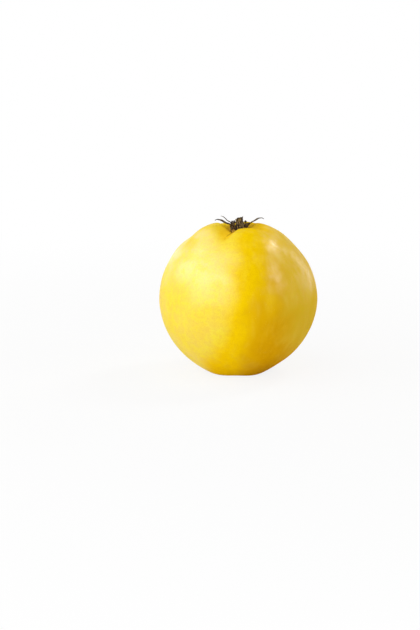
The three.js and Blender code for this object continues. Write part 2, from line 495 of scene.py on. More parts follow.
skinLook = {
    # the lemon is partly painted sheen of the lamps on the left, partly the skin's own paler tone
    "sheenLemon": shade(250, 226, 52),
    "gold": shade(252, 211, 0),
    # the deep gold is painted shade on the side away from the lamps, partly a deeper tone of the skin
    "shadedDeepGold": shade(219, 158, 0),
    # the ochre is painted shade on the right flank, partly a duller tone of the skin
    "shadedOchre": shade(233, 196, 36),
    "amber": shade(236, 184, 8),
    # the crease gold is painted shade in the creases
    "crease": shade(249, 202, 38),
    "straw": shade(250, 224, 84),
    "olive": shade(232, 204, 20),
    "stain": shade(172, 122, 40),
    # the umber is a painted shadow along the floors of the creases
    "creaseShadow": shade(112, 62, 18),
    "russet": shade(164, 122, 62),
    # the noises that mark the skin: size, detail, distortion, roughness
    "noises": {
        "broad": (26, 2, 0.3, 0.5),
        "cloud": (10, 1, 0.0, 0.5),
        "mottle": (2.6, 3, 0.0, 0.6),
        "fine": (0.6, 2, 0.0, 0.5),
        "blot": (3.4, 3, 0.6, 0.5),
    },
    "grain": (5.0, 3, 0.0, 0.55),  # one that is drawn out upwards
    "grainStretch": (1, 1, 0.35),
    "poreGap": 1.9,
    # where each patch or change starts and ends: by y, from the front to the back
    "spans": {
        "widening": (-22, 24),
        "behind": (-6, 22),
        "knobFront": (0, -11),
        # by z, up from the floor
        "lemonFoot": (44, 4),
        "deepFoot": (50, 16),
        "belowTop": (76, 60),
        "shoulderHeight": (60, 70),
        "crown": (60, 66),
        "stalkEnd": (14, 11),
        "glintHeight": (38, 56),
        "waxHeight": (46, 67),
        "waxTop": (65, 75),
        "rimTop": (58, 70),
        # by x, from the left to the right
        "gold": (-7, 4),
        "shadedDeepGold": (4, 26),
        "shadedOchre": (14, 31),
        "glint": (7, 22),
        "gapLeft": (19, 24),
        "gapRight": (34, 28),
        "waxSide": (-22, -4),
        "knobLeft": (-28, -18),
        "knobRight": (-5, -15),
        "rim": (17, 34),
        # by the distance from the axis
        "shoulder": (25, 12),
        "stain": (14, 6),
        "russet": (13, 4),
        # by a noise or a mark
        "patch": (0.49, 0.6),
        "hollow": (0.04, 0.7),
        "streak": (0.46, 0.66),
        "poreSize": (0.14, 0.05),
        "poreHere": (0.36, 0.5),
        "mottle": (0.36, 0.66),
        "fine": (0.38, 0.66),
        "line": (0.25, 1.1),
        "lineHere": (0.2, 0.55),
        "dull": (0.1, 0.8),
        "glintGrain": (0.3, 0.7),
        "uneven": (0.36, 0.62),
    },
    # how far the noises push the ends of these to and fro
    "frays": {
        "gold": {"cloud": 7, "broad": 15},
        "behind": {"cloud": 16},
        "shadedDeepGold": {"broad": 30, "cloud": 8},
        "shadedOchre": {"cloud": 12},
        "shoulder": {"cloud": 10},
        "stain": {"blot": 10},
        "russet": {"blot": 6, "mottle": 5},
        "glint": {"cloud": 10, "grain": 10},
        "knobLeft": {"cloud": 10, "mottle": 5},
        "knobRight": {"cloud": 10, "mottle": 5},
    },
    "backWidth": 2.5,  # the turn to gold takes this much more room at the back
    "lemonFoot": 15,  # it moves this far to the left near the floor
    "deepFoot": 8,
    "ochreLean": (45, 0.2),  # the ochre edge stands upright at this height, and leans by this
    "stainLean": 0.2,
    # how much of each colour covers what lies under it
    "cover": {
        "shadedDeepGold": 0.9,
        "shadedOchre": 0.85,
        "patch": 0.4,
        "olive": 0.85,
        "crease": 0.85,
        "streak": 0.14,
        "pore": 0.45,
        "mottle": 0.34,
        "fine": 0.34,
        "amber": 0.75,
        "stain": 0.45,
        "line": 0.5,
        "russet": 0.8,
    },
    "deepTop": 0.25,  # share of the deep colour that is left near the top
    "deepBehind": 0.65,  # and the share that goes towards the back
    "ochreBehind": 0.6,
    # the valley's edge is set by these shares of itself, of mottle and of cloud
    "hollowMix": (0.5, 0.4, 0.6),
    "patchMix": (0.5, 0.5),  # of broad and of cloud
    "streakMix": (0.7, 0.3),  # of grain and of cloud
    "evenMix": (0.5, 0.5),  # of mottle and of cloud
    "dry": (0.5, 0.3),  # roughness of the skin, and what a stain adds to it
    "waxLeft": 0.82,
    "waxRight": 0.075,
    "glint": 0.43,  # wax in the streaks that catch the light on the right shoulder
    "glintFloor": 0.45,  # share of it that is left between the streaks
    "glintGap": 0.35,  # share that goes where the streaks part
    "waxFloor": (0.48, 0.57),  # wax on the left low down, and what the height adds
    "waxSide": 0.3,  # share of it that goes towards the middle
    "waxTop": 0.7,  # share that goes at the top
    "onKnob": 0.85,  # except on the knob
    "waxShoulder": 0.75,
    "rimFloor": 0.2,  # share of the wax on the right that is left in the middle
    "rimTop": 0.5,
    "uneven": (0.55, 0.6),
    "coatRoughness": 0.29,
    "coatIor": 2.4,
    # heights in millimetres of the mottle, the fine grain, the pores and the stains
    "relief": (0.07, 0.02, 0.02, 0.3),
}


def skinMaterial():
    look = skinLook
    cover = look["cover"]
    board = newMaterial("quinceSkin")
    spot = board.spots()
    x, y, z = board.parts(spot)
    away = (x * x + y * y) ** 0.5
    valley = board.add("ShaderNodeAttribute", {"attribute_name": "valley"}, output=2)
    groove = board.add("ShaderNodeAttribute", {"attribute_name": "groove"}, output=2)
    noises = {name: board.noise(spot, *row) for name, row in look["noises"].items()}
    broad, cloud, mottle, fine, blot = noises.values()
    grain = board.noise(board.stretched(spot, *look["grainStretch"]), *look["grain"])
    noises["grain"] = grain

    # how far along the named span the value is, from 0 to 1
    def along(name, value, width=None):
        for fray, reach in look["frays"].get(name, {}).items():
            value = value + (noises[fray] - 0.5) * reach
        return board.between(value / width if width else value, *look["spans"][name])

    # painted sheen: the left side, under the sheen of the lamps on the left, is a paler lemon, partly the
    # skin's own paler cheek; to the right of it the skin turns gold
    width = 1 + look["backWidth"] * along("widening", y)
    beyondSheen = along("gold", x + along("lemonFoot", z) * look["lemonFoot"], width)
    colour = board.mix(beyondSheen, look["sheenLemon"], look["gold"])
    behind = along("behind", y)
    # painted shade: deeper gold on the right and low down, on the side away from the lamps, with less of
    # it near the top and at the back; partly the skin's own deeper tone
    shadedDeep = along("shadedDeepGold", x + along("deepFoot", z) * look["deepFoot"])
    shadedDeep = shadedDeep * (look["deepTop"] + along("belowTop", z) * (1 - look["deepTop"]))
    shadedDeep = shadedDeep * (1 - behind * look["deepBehind"])
    colour = board.mix(shadedDeep * cover["shadedDeepGold"], colour, look["shadedDeepGold"])
    # painted shade: a duller ochre far out on the right flank, away from the lamps; partly the skin's own
    # duller tone
    upright, lean = look["ochreLean"]
    shadedFlank = along("shadedOchre", x + (z - upright) * lean) * (cover["shadedOchre"] - behind * look["ochreBehind"])
    colour = board.mix(shadedFlank, colour, look["shadedOchre"])
    byBroad, byCloud = look["patchMix"]
    patch = along("patch", broad * byBroad + cloud * byCloud) * (1 - beyondSheen)
    colour = board.mix(patch * cover["patch"], colour, look["gold"])
    shoulder = along("shoulder", away) * along("shoulderHeight", z) * (1 - beyondSheen)
    colour = board.mix(shoulder * cover["olive"], colour, look["olive"])
    # painted shade: a deeper gold in the creases, where they lie in shade
    base, byMottle, byCloud = look["hollowMix"]
    hollow = along("hollow", valley * (base + mottle * byMottle + cloud * byCloud))
    colour = board.mix(hollow * cover["crease"], colour, look["crease"])

    # faint pale streaks and pores, and a fine amber mottle
    byGrain, byCloud = look["streakMix"]
    streak = along("streak", grain * byGrain + cloud * byCloud)
    colour = board.mix(streak * cover["streak"], colour, look["straw"])
    cells = {"Vector": spot, "Scale": 1 / look["poreGap"], "Randomness": 1.0}
    cell = board.add("ShaderNodeTexVoronoi", {}, cells)
    pore = along("poreSize", cell) * along("poreHere", mottle)
    colour = board.mix(pore * cover["pore"], colour, look["straw"])
    tone = along("mottle", mottle) * cover["mottle"] + along("fine", fine) * cover["fine"]
    colour = board.mix(tone * cover["amber"], colour, look["amber"])

    # tan stain round the dried flower, a painted shadow line along the floors of the creases, russet in
    # the stalk's hollow
    stained = along("crown", z) * along("stain", away - x * look["stainLean"])
    colour = board.mix(stained * cover["stain"], colour, look["stain"])
    line = along("line", groove) * along("lineHere", blot)
    colour = board.mix(line * cover["line"], colour, look["creaseShadow"])
    inHollow = along("russet", away) * along("stalkEnd", z)
    colour = board.mix(inHollow * cover["russet"], colour, look["russet"])

    # the skin itself is dull, and its sheen is the coat of wax
    dull = along("dull", stained + inHollow)
    streaks = look["glintFloor"] + along("glintGrain", grain) * (1 - look["glintFloor"])
    gap = along("gapLeft", x) * along("gapRight", x)
    glint = along("glint", x) * along("glintHeight", z) * streaks * (1 - gap * look["glintGap"])
    floor, rise = look["waxFloor"]
    left = (floor + along("waxHeight", z) * rise) * (1 - along("waxSide", x) * look["waxSide"])
    onKnob = along("knobLeft", x) * along("knobRight", x) * along("knobFront", y)
    left = left * (1 - along("waxTop", z) * look["waxTop"] * (1 - onKnob * look["onKnob"]))
    left = left * (1 - beyondSheen) * (1 - shoulder * look["waxShoulder"])
    rim = along("rim", x) * (1 - look["rimFloor"]) * (1 - along("rimTop", z) * look["rimTop"])
    wax = look["waxRight"] * (look["rimFloor"] + rim) + look["waxLeft"] * left + look["glint"] * glint
    byMottle, byCloud = look["evenMix"]
    floor, rise = look["uneven"]
    uneven = floor + along("uneven", mottle * byMottle + cloud * byCloud) * rise
    wax = wax * uneven * (1 - hollow) * (1 - dull)

    byMottle, byFine, byPore, byBlot = look["relief"]
    relief = mottle * byMottle + fine * byFine - pore * byPore + blot * dull * byBlot
    dry, stainDry = look["dry"]
    return board.surface(
        Base_Color=colour,
        Roughness=dry + dull * stainDry,
        Specular_IOR_Level=0.0,
        Coat_Weight=wax,
        Coat_Roughness=look["coatRoughness"],
        Coat_IOR=look["coatIor"],
        Normal=board.bump(relief),
    )


place("quinceFruit", fruitMesh(), skinMaterial(), "quince_skin", "fruit")
print("fruit made")


flower = {
    "cupRadius": 3.6,
    "cupHeight": 1.0,
    "cupDish": 0.5,
    "cupGap": 0.35,  # between the cup and the floor of the basin
    "sepalDistance": 4.4,  # from the axis to the foot of a sepal
    "sepalGap": 0.7,
    "kink": 3,  # degrees by which a sepal strays from its path
    "kinkGrains": (1.6, 1.9),  # over what length a piece strays, up and down and to the sides
    "apart": 3.7,  # how far apart two pieces read the noise that they stray by
}


# the path of a dried piece: places, and the directions aside, inward and ahead of each
def runOf(foot, points, length, rise, veer, steps, kink, seed):
    share = np.linspace(0, 1, steps + 1)
    flat = 0 * share
    spots = np.stack([share * length, flat + seed * flower["apart"], flat], -1)
    upGrain, sideGrain = flower["kinkGrains"]
    climb = np.radians(keyRow(rise, share) + kink * roughness(spots, upGrain, seed))
    bearing = np.radians(points + veer * share + kink * roughness(spots, sideGrain, seed + 40))
    outward = np.stack([np.cos(bearing), np.sin(bearing), flat], -1)
    ahead = outward * np.cos(climb)[:, None]
    ahead[:, 2] = np.sin(climb)
    side = np.stack([-np.sin(bearing), np.cos(bearing), flat], -1)
    face = np.cross(ahead, side)
    spots = np.cumsum(np.concatenate([[foot], ahead[:-1] * length / steps]), axis=0)
    return spots, side, face, ahead


# the same as a column each, and the share of the way and the angle round it at every point
def alongRun(run, around):
    share = np.linspace(0, 1, len(run[0]))[:, None]
    angle = -2 * math.pi * np.arange(around)[None, :] / around
    return [part[:, None, :] for part in run], share, angle


def cupTop(distance):
    floor = fruit["widest"] + fruit["rise"] - fruit["basinDepth"] + flower["cupGap"]
    return floor + flower["cupHeight"] + flower["cupDish"] * (distance / flower["cupRadius"]) ** 2


thread = {
    "around": 14,
    "waist": 0.6,  # share of its width that a thread loses inside its head
    "lobes": 0.32,
    "tip": 0.12,  # length over which it narrows to its tip
    "tipWidth": 0.15,  # square of the share of the width that is left there
    "tipReach": 0.04,
    "wrinkles": ((0.3, 0.4), (0.12, 0.16)),  # share of the width, and grain
    "core": 0.5,  # radius at which the noise of the wrinkles is read
}


# a round thread along a run, with a lobed head that starts at the share headStart
def threadMesh(name, run, form, headStart, seed):
    (spots, side, face, ahead), share, angle = alongRun(run, thread["around"])
    length = form["length"]
    inHead = np.clip((share - headStart) / max(1 - headStart, 0.01), 0, 1)
    swell = np.sqrt(np.clip(1 - (2 * inHead - 1) ** 2, 0, 1)) * (share > headStart)
    lobes = 1 + thread["lobes"] * np.cos(2 * angle + seed)
    radius = keyRow(form["radii"], share) * (1 - thread["waist"] * (inHead > 0))
    radius = radius + form["head"] * swell * lobes
    radius = radius * np.clip((1 - share) * length / thread["tip"], thread["tipWidth"], 1) ** 0.5
    along = share * length + 0 * angle
    core = [thread["core"] * part + 0 * share for part in (np.cos(angle), np.sin(angle))]
    (height, grain), (smallHeight, smallGrain) = thread["wrinkles"]
    spot = np.stack([along, *core], -1)
    wrinkles = height * roughness(spot, grain, seed) + smallHeight * roughness(spot, smallGrain, seed + 3)
    radius = radius * (1 + wrinkles)
    aside, inward = radius * np.cos(angle), radius * np.sin(angle)
    rings = spots + side * aside[..., None] + face * inward[..., None]
    end = spots[-1, 0] + ahead[-1, 0] * thread["tipReach"]
    return ringMesh(name, rings, spots[0, 0], end, np.stack([along, aside], -1))


# what all the dead tissue has in common: noises as detail, distortion and roughness, and spans
tissue = {
    "fibre": (3, 0.0, 0.6),
    "blotch": (3, 0.4),
    "speckShare": 0.3,  # size of the specks as a share of the blotches
    "speckDetail": 2,
    "brown": (0.38, 0.62),
    "stripe": (0.47, 0.6),
    "stripeHere": (0.3, 0.5),
    "speck": (0.6, 0.7),
    "specks": 0.8,
    "fleshFray": 3,  # how far the blotches push the end of the living flesh to and fro
    "fleshFades": 1.6,
    "fleshCover": 0.9,
    "speckRelief": 0.4,  # height of the specks as a share of the ridges
    "dry": (0.62, 0.25),  # roughness, and what the blotches add to it
    "specular": 0.3,
}


# dead plant tissue, with fibres that lie along the grain, or upright
def tissueMaterial(name, look):
    board = newMaterial(name)
    spot = board.spots()
    if "fibre" in look:
        grain = board.add("ShaderNodeUVMap", {"uv_map": "grain"})
        grain = board.stretched(grain, *look["fibre"])
    else:
        grain = board.stretched(spot, *look["upright"])
    fibre = board.noise(grain, 1.0, *tissue["fibre"])
    blotch = board.noise(spot, look["blotch"], *tissue["blotch"])
    speck = board.noise(spot, look["blotch"] * tissue["speckShare"], tissue["speckDetail"])
    colour = board.mix(board.between(blotch, *tissue["brown"]), look["dark"], look["brown"])
    stripe = board.between(fibre, *tissue["stripe"]) * board.between(blotch, *tissue["stripeHere"])
    colour = board.mix(stripe * look["stripes"], colour, look["pale"])
    speckled = board.between(speck, *tissue["speck"]) * tissue["specks"]
    colour = board.mix(speckled, colour, look["dark"])
    if "flesh" in look:
        along = board.parts(board.add("ShaderNodeUVMap", {"uv_map": "grain"}))[0]
        along = along + (blotch - 0.5) * tissue["fleshFray"]
        alive = board.between(along, look["fleshEnds"], look["fleshEnds"] - tissue["fleshFades"])
        colour = board.mix(alive * tissue["fleshCover"], colour, look["flesh"])
    relief = fibre * look["ridges"] + speck * look["ridges"] * tissue["speckRelief"]
    dry, blotchDry = tissue["dry"]
    return board.surface(
        Base_Color=colour,
        Roughness=dry + blotch * blotchDry,
        Specular_IOR_Level=tissue["specular"],
        Normal=board.bump(relief),
    )


cup = {
    "rows": 60,
    "around": 160,
    # spokes: how many, height, share of the width, how far they stray and over what length
    "spokes": (15, 0.1, 0.03, 2, 2.2),
    "spokeRing": 3.0,  # distance from the axis that settles how a spoke strays
    "spokeEdge": 6,  # the larger, the nearer to the edge the spokes widen the cup
    "edge": 0.5,  # the smaller, the squarer its edge
    "rough": ((0.22, 0.9), (0.1, 0.35)),  # height and grain of the broken surface
    "roughEdge": 0.02,  # share of the width by which the broken surface goes in and out
    "underFrom": 1.7,  # angle from the top, in radians
    "reliefUnder": 0.3,  # share of the relief that is left beyond it
    "dark": shade(18, 8, 4),
    "brown": shade(48, 26, 13),
    "pale": shade(136, 98, 54),
    "upright": (1.2, 1.2, 0.6),
    "blotch": 1.1,
    "stripes": 0.65,
    "ridges": 0.16,
}
# torn scraps of the flower's disc that stand on the cup
flakes = {
    "count": 26,
    "seed": 11,
    "stray": 6,
    "distance": (0.4, 3.2),
    "sunk": 0.05,
    "length": (0.8, 1.9),
    "rise": ((60, 95), (50, 110), (20, 120)),
    "turn": 40,
    "kink": 12,
    "steps": 12,
    "around": 12,
    "halfWidth": (0.25, 0.5),
    # share of the width, grain, and the length over which the torn edge is read
    "tornEdge": (0.4, 0.5, 4),
    "tipWidth": 0.05,  # square of the share of the width that is left at the tip
    "thick": 0.06,
    "fold": 0.5,  # bend for each mm across
}


def flakeMesh(draw, index):
    points = 360 * index / flakes["count"] + draw.uniform(-flakes["stray"], flakes["stray"])
    distance = draw.uniform(*flakes["distance"])
    foot = onRing(points, distance, cupTop(distance) - flakes["sunk"])
    length = draw.uniform(*flakes["length"])
    rise = [draw.uniform(*span) for span in flakes["rise"]]
    points = points + draw.uniform(-flakes["turn"], flakes["turn"])
    run = runOf(foot, points, length, rise, 0, flakes["steps"], flakes["kink"], index)
    (spots, side, face, _), share, angle = alongRun(run, flakes["around"])
    half = draw.uniform(*flakes["halfWidth"]) * np.sqrt(np.clip(1 - share**3, flakes["tipWidth"], 1))
    torn, grain, reach = flakes["tornEdge"]
    edge = np.stack([share * reach, share * 0 + index, share * 0], -1)
    across = half * (1 + torn * roughness(edge, grain, index)) * np.cos(angle)
    through = flakes["thick"] * np.sin(angle) + flakes["fold"] * across**2
    return sheetMesh("flake", spots + side * across[..., None] + face * through[..., None])


def cupMesh():
    polar = math.pi * np.arange(1, cup["rows"])[:, None] / cup["rows"]
    bearing = np.arange(cup["around"])[None, :] * 360 / cup["around"]
    bearing, polar = bearing + 0 * polar, polar + 0 * bearing
    distance = flower["cupRadius"] * np.sin(polar)
    count, spokeHeight, spokeWidth, stray, grain = cup["spokes"]
    wander = stray * roughness(onRing(bearing, cup["spokeRing"] + 0 * distance, 0), grain, 3)
    spokes = np.cos(count * np.radians(bearing) + wander)
    over, under = cupTop(distance), crownHeight(bearing, distance) + flower["cupGap"]
    middle = (over + under) / 2
    isOver = polar < math.pi / 2
    edge = np.abs(np.cos(polar)) ** cup["edge"]
    rings = onRing(bearing, distance, middle + (np.where(isOver, over, under) - middle) * edge)
    rough = roughnessPair(rings, cup["rough"], 6)
    relief = rough + spokeHeight * spokes * distance / flower["cupRadius"]
    rings[..., 2] += relief * np.where(polar < cup["underFrom"], 1, cup["reliefUnder"])
    wider = spokeWidth * spokes * np.sin(polar) ** cup["spokeEdge"] + cup["roughEdge"] * rough
    rings[..., :2] *= (1 + wider)[..., None]
    draw = random.Random(flakes["seed"])
    scraps = [flakeMesh(draw, index) for index in range(flakes["count"])]
    return joined("flowerCup", [roundMesh("cup", rings), *scraps])


place("flowerCup", cupMesh(), tissueMaterial("flowerCup", cup), "dried_cup", "flower_cup")


# widths, curl (bend for each mm across), twist and thickness are keys from the foot to the tip;
# slant sets the tip's edge askew, ragged breaks it up, crumple creases the whole sheet
sepals = [
    {
        "name": "sepalFront",
        "node": "sepal_front",
        "points": -66,
        "length": 8.8,
        "rise": [80, 90, 96, 86],
        "veer": 6,
        "widths": [2.6, 3.9, 5.0, 5.5, 5.4, 4.9],
        "curl": [0.5, 0.45, 0.38, 0.36, 0.4],
        "twist": [0, 4, 8, 10],
        "thick": [0.5, 0.42, 0.34, 0.3],
        "slant": 0.1,
        "ragged": 0.3,
        "crumple": 0.3,
        "stripes": 0.84,
    },
    {
        "name": "sepalRight",
        "node": "sepal_right",
        "points": -6,
        "length": 13.6,
        "rise": [70, 79, 37, 26, 37, 12, -50],
        "veer": 8,
        "widths": [2.6, 4.2, 3.4, 1.5, 1.0, 0.9, 0.85, 0.7, 0.3],
        "curl": [0.7, 0.8, 0.9, 1.3, 1.8, 1.8, 1.8],
        "twist": [-20, -50, -40, 20, 90, 150, 190],
        "thick": [0.5, 0.4, 0.32, 0.3, 0.26, 0.2],
        "slant": 0.0,
        "ragged": 0.2,
        "crumple": 0.22,
        "stripes": 0.4,
    },
    {
        "name": "sepalBackRight",
        "node": "sepal_back_right",
        "points": 64,
        "length": 5.6,
        "rise": [62, 66, 48, 14],
        "veer": 14,
        "widths": [2.4, 3.6, 3.6, 2.6, 1.6, 0.6],
        "curl": [0.45, 0.5, 0.6, 0.8],
        "twist": [0, 10, 24, 34],
        "thick": [0.46, 0.38, 0.3, 0.24],
        "slant": 0.1,
        "ragged": 0.5,
        "crumple": 0.26,
        "stripes": 0.6,
    },
    {
        "name": "sepalBackLeft",
        "node": "sepal_back_left",
        "points": 124,
        "length": 5.2,
        "rise": [62, 70, 84, 100],
        "veer": 12,
        "widths": [2.4, 3.8, 3.6, 2.4, 1.2, 0.5],
        "curl": [0.45, 0.5, 0.7, 0.9],
        "twist": [0, -10, -20, -40],
        "thick": [0.46, 0.38, 0.3, 0.24],
        "slant": -0.12,
        "ragged": 0.5,
        "crumple": 0.26,
        "stripes": 0.5,
    },
    {
        "name": "sepalLeft",
        "node": "sepal_left",
        "points": 239,
        "length": 15.4,
        "rise": [82, 92, 32, 15, 38, 13, -40],
        "veer": -72,
        "widths": [2.4, 3.4, 3.4, 2.0, 1.5, 1.3, 1.1, 0.8, 0.35],
        "curl": [0.7, 0.85, 0.9, 1.2, 1.6, 1.6, 1.6],
        "twist": [0, 10, 20, -20, -70, -120, -150],
        "thick": [0.5, 0.42, 0.34, 0.32, 0.28, 0.22],
        "slant": 0.0,
        "ragged": 0.2,
        "crumple": 0.24,
        "stripes": 0.35,
    },
]
sepalLook = {
    "steps": 130,
    "around": 56,
    "edgeWaves": ((0.16, 1.3), (0.08, 0.45)),  # share of the width, and grain
    "flatness": 0.6,  # the smaller, the flatter the faces and the squarer the edges
    "midrib": (0.7, 0.35),  # share of the thickness, and width
    "crumpleGrain": (2.2, 1.3),  # along and across the sheet
    "crumpleStart": (0.02, 0.2),
    "veinGrain": (4, 0.24),
    "veins": (0.05, 0.03),  # heights of the veins and of the finer ones
    "fineVeins": 2.3,  # how much finer those are
    "raggedGrain": 0.5,
    # how far apart the noises of both edges, of two sepals and of both faces lie
    "edgesApart": 5,
    "sheetsApart": 9,
    "facesApart": 3,
    "dark": shade(24, 12, 7),
    "brown": shade(54, 32, 17),
    "pale": shade(186, 158, 98),
    "flesh": shade(230, 186, 76),  # the foot of a sepal has stayed alive like the skin
    "fleshEnds": 2.5,
    "fibre": (0.35, 2.6, 1),
    "blotch": 1.3,
    "ridges": 0.14,
}


def sepalMesh(sepal, seed):
    look = sepalLook
    points, distance = sepal["points"], flower["sepalDistance"]
    foot = onRing(points, distance, crownHeight(points, distance) + flower["sepalGap"])
    shape = (sepal["length"], sepal["rise"], sepal["veer"])
    run = runOf(foot, points, *shape, look["steps"], flower["kink"], seed)
    (spots, side, face, ahead), share, angle = alongRun(run, look["around"])
    along = share * sepal["length"] + 0 * angle
    flat = 0 * along
    turn = np.cos(angle) + 0 * share
    half = keyRow(sepal["widths"], share) / 2
    edge = np.stack([along, np.sign(turn) * look["edgesApart"], flat], -1)
    across = half * (1 + roughnessPair(edge, look["edgeWaves"], seed)) * turn
    thick = keyRow(sepal["thick"], share) / 2
    isFront = np.sign(np.sin(angle))
    flatness = isFront * np.abs(np.sin(angle)) ** look["flatness"]
    ribHeight, ribWidth = look["midrib"]
    rib = 1 + ribHeight * bell(across / ribWidth)
    alongGrain, acrossGrain = look["crumpleGrain"]
    own = flat + seed * look["sheetsApart"]
    sheet = np.stack([along / alongGrain, across / acrossGrain, own], -1)
    crumple = sepal["crumple"] * roughness(sheet, 1, seed + 2) * ease(share, *look["crumpleStart"])
    alongGrain, acrossGrain = look["veinGrain"]
    own = flat + isFront * look["facesApart"]
    veins = np.stack([along / alongGrain, across / acrossGrain, own], -1)
    height, fineHeight = look["veins"]
    relief = height * roughness(veins, 1, seed + 3)
    relief = relief + fineHeight * roughness(veins * look["fineVeins"], 1, seed + 4)
    through = crumple + flatness * (thick * rib + relief)
    curl = keyRow(sepal["curl"], share)
    bend = curl * across
    out = np.sin(bend) / curl - np.sin(bend) * through
    back = (1 - np.cos(bend)) / curl + np.cos(bend) * through
    twist = np.radians(keyRow(sepal["twist"], share))
    aside = out * np.cos(twist) - back * np.sin(twist)
    inward = out * np.sin(twist) + back * np.cos(twist)
    broken = np.stack([across / look["raggedGrain"], flat, flat + seed], -1)
    ragged = sepal["ragged"] * roughness(broken, 1, seed + 5) * share**5
    tip = sepal["slant"] * across * share**2 + ragged
    rings = spots + side * aside[..., None] + face * inward[..., None] + ahead * tip[..., None]
    mesh = sheetMesh(sepal["name"], rings)
    layGrain(mesh, np.stack([along, across], -1).reshape(-1, 2))
    return mesh


for index, sepal in enumerate(sepals):
    material = tissueMaterial(sepal["name"], {**sepalLook, "stripes": sepal["stripes"]})
    place(sepal["name"], sepalMesh(sepal, index), material, "dried_sepal", sepal["node"])
print("cup and sepals made")


stamens = {
    "count": 20,
    "points": -2,
    "distances": (2.2, 3.0),  # every other one stands farther out
    "gap": 0.4,
    "lengths": [3.6, 3.0, 3.9],
    "rise": [86, 90],
    "leans": [90, 78, 96, 84],
    "radii": [0.2, 0.16, 0.14, 0.15],
    "head": 0.34,
    "headLength": 1.25,
    "kink": 20,
    "steps": 48,
    "dark": shade(27, 15, 11),
    "brown": shade(64, 36, 24),
    "pale": shade(126, 98, 62),
    "fibre": (0.6, 5.0, 1),
    "blotch": 1.0,
    "stripes": 0.4,
    "ridges": 0.1,
}
oddStamens = {
    # one leans out over the rim with a fat round head
    0: {"length": 4.7, "rise": [78, 50, 56], "head": 0.8, "kink": 6},
    # another has kept its length
    9: {
        "length": 9.5,
        "rise": [90, 61, 19, 46, 31, -4],
        "radii": [0.24, 0.3, 0.26, 0.2, 0.17],
        "head": 0.05,
        "kink": 4,
    },
}
styles = {
    "count": 5,
    "points": 12,
    "distance": 0.85,
    "gap": 0.4,
    "length": 4.9,
    "rise": [90, 88, 84],
    "radii": [0.34, 0.26, 0.2, 0.2],
    "head": 0.36,
    "headLength": 0.8,
    "kink": 6,
    "steps": 48,
    "firstSeed": 60,
    "dark": shade(70, 48, 30),
    "brown": shade(128, 98, 62),
    "pale": shade(186, 164, 122),
    "fibre": (0.6, 4.0, 1),
    "blotch": 0.9,
    "stripes": 0.7,
    "ridges": 0.12,
}


# a thread that stands on the cup as its form says
def strandMesh(name, form, index, distance, seed):
    points = form["points"] + 360 * index / form["count"]
    foot = onRing(points, distance, cupTop(distance) + form["gap"])
    run = runOf(foot, points, form["length"], form["rise"], 0, form["steps"], form["kink"], seed)
    return threadMesh(name, run, form, 1 - form["headLength"] / form["length"], seed)


def stamenMesh(index):
    distance = stamens["distances"][index % 2]
    length = stamens["lengths"][index % len(stamens["lengths"])]
    lean = stamens["leans"][index % len(stamens["leans"])]
    form = {**stamens, "length": length, "rise": [*stamens["rise"], lean]}
    form.update(oddStamens.get(index, {}))
    return strandMesh("stamen", form, index, distance, index)


def styleMesh(index):
    return strandMesh("style", styles, index, styles["distance"], index + styles["firstSeed"])


stamenTissue = tissueMaterial("stamenThread", stamens)
for index in range(stamens["count"]):
    number = index + 1
    place(f"stamen{number}", stamenMesh(index), stamenTissue, "dried_stamen", f"stamen_{number}")
styleTissue = tissueMaterial("styleWool", styles)
for index in range(styles["count"]):
    number = index + 1
    place(f"style{number}", styleMesh(index), styleTissue, "dried_style", f"style_{number}")
print("stamens and styles made")


down = {
    "hairs": 900,
    "seed": 23,
    "reach": 0.3,  # share of a sepal's length that is downy
    "crowding": 1.6,  # the larger, the more of the hairs stand near the foot
    "lengths": (0.3, 0.95),
    "radius": 0.022,
    "rings": ((0, 1.0), (0.5, 0.75)),  # share of the length, and of the radius
    "sunk": 0.04,
    "leans": ((-1, 1), (-1, 1), (-0.3, 1.2)),
    "lean": 0.8,
    "droops": ((-1, 1), (-1, 1), (-1, 0.4)),
    "droop": 0.3,
    "dark": shade(120, 92, 70),
    "brown": shade(170, 142, 116),
    "pale": shade(214, 196, 170),
    "upright": (1, 1, 1),
    "blotch": 1.4,
    "stripes": 0.6,
    "ridges": 0.0,
}


# short bent hairs on the sepals' feet, three-sided and pointed
def downMesh():
    draw = random.Random(down["seed"])
    points, faces = [], []
    meshes = [bpy.data.objects[sepal["name"]].data for sepal in sepals]
    rows, around = int(sepalLook["steps"] * down["reach"]), sepalLook["around"]
    for _ in range(down["hairs"]):
        mesh = meshes[draw.randrange(len(meshes))]
        row = int(rows * draw.random() ** down["crowding"])
        vertex = mesh.vertices[row * around + draw.randrange(around)]
        lean = Vector([draw.uniform(*span) for span in down["leans"]]) * down["lean"]
        way = (vertex.normal + lean).normalized()
        aside = way.orthogonal().normalized()
        beside = way.cross(aside)
        droop = Vector([draw.uniform(*span) for span in down["droops"]]) * down["droop"]
        length = draw.uniform(*down["lengths"])
        foot = vertex.co / mm
        base = len(points)
        for level, thin in down["rings"]:
            middle = foot + way * (length * level - down["sunk"]) + droop * (length * level**2)
            for corner in range(3):
                turn = 2 * math.pi * corner / 3
                outward = aside * math.cos(turn) + beside * math.sin(turn)
                points.append(middle + outward * (down["radius"] * thin))
        points.append(foot + way * length + droop * length)
        low, high, tip = base, base + 3, base + 6
        for corner in range(3):
            following = (corner + 1) % 3
            faces.append((low + corner, low + following, high + following, high + corner))
            faces.append((high + corner, high + following, tip))
        faces.append((low + 2, low + 1, low))
    return newMesh("sepalDown", [point * mm for point in points], faces, smooth=False)


place("sepalDown", downMesh(), tissueMaterial("sepalDown", down), "dried_sepal")


